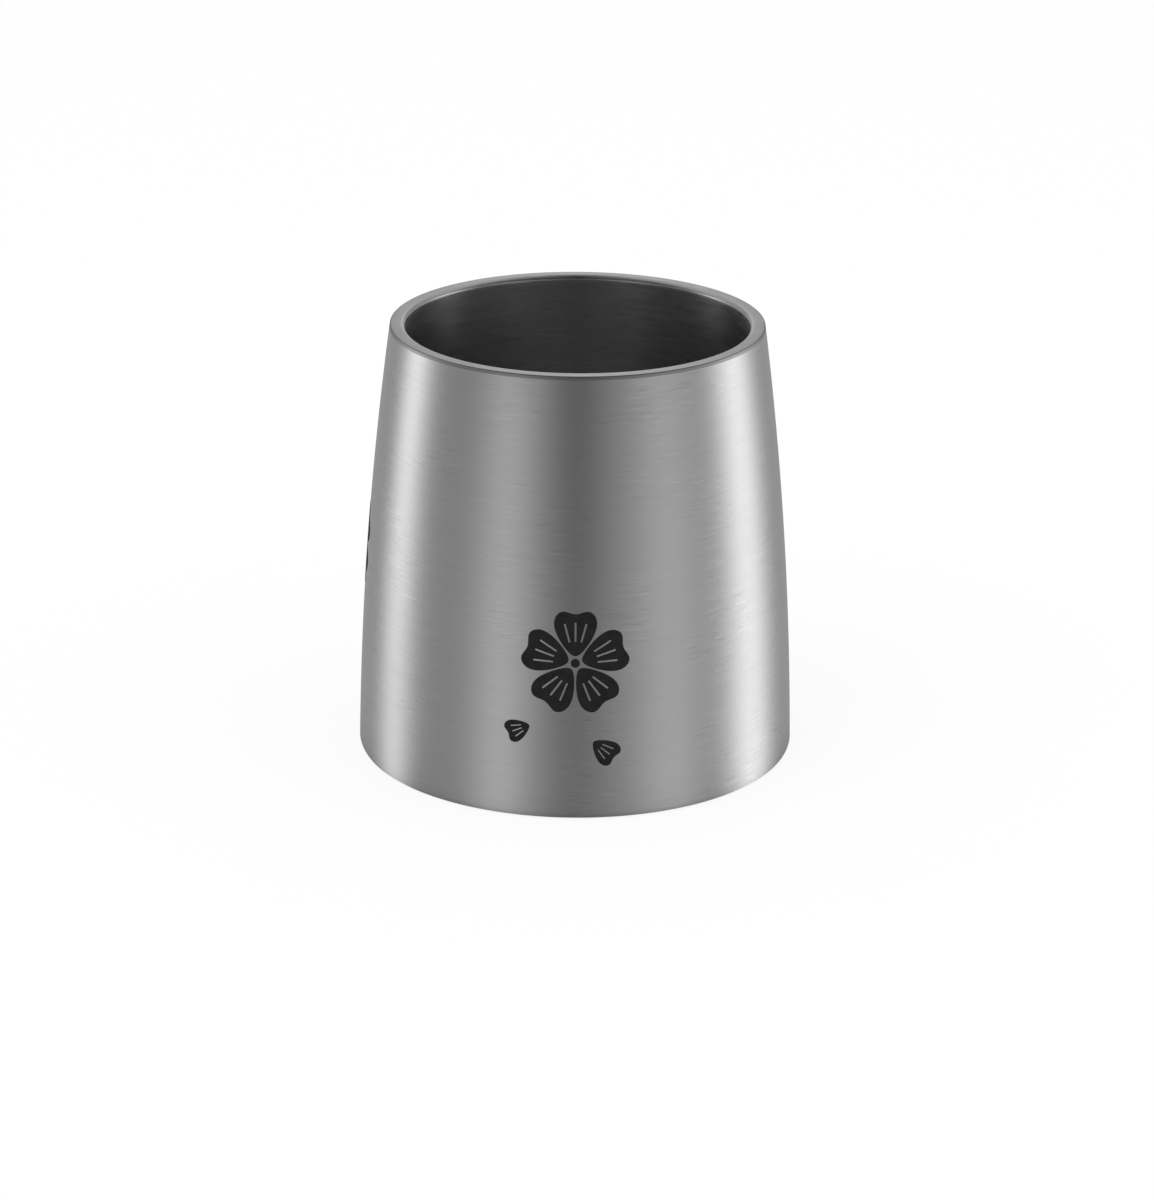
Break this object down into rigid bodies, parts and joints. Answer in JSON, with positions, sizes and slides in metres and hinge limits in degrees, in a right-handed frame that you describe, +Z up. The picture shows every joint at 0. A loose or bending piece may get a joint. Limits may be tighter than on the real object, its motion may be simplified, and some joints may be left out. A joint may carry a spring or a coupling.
{
  "type": "sake cup",
  "caption": "Small double-walled steel sake cup with a bowed wall that narrows to a rolled lip, a turned-in foot and a closed base with a vacuum seal.",
  "frame": {"origin": "middle of the foot, on the surface that the cup stands on", "axes": "+Z up along the cup's own axis, -Y towards the side that the picture shows"},
  "size_m": [0.062, 0.062, 0.0621],
  "materials": {
    "shell_steel": "brushed round the wall",
    "liner_steel": "brushed round the wall, with a satin lip",
    "weld_steel": "weld metal, ground at the rim",
    "base_steel": "as pressed",
    "cover_steel": "spun satin",
    "sealing_glass": "glossy, melted in place",
    "getter_metal": "sintered",
    "mark_black": "matt black oxide, marked by laser"
  },
  "bodies": {
    "root": {"outer_shell": "shell_steel", "inner_liner": "liner_steel", "rim_weld": "weld_steel", "base_plate": "base_steel", "base_weld": "weld_steel", "base_cover": "cover_steel", "port_seal": "sealing_glass", "getter_holder": "base_steel", "getter_pill": "getter_metal"}
  },
  "joints": []
}
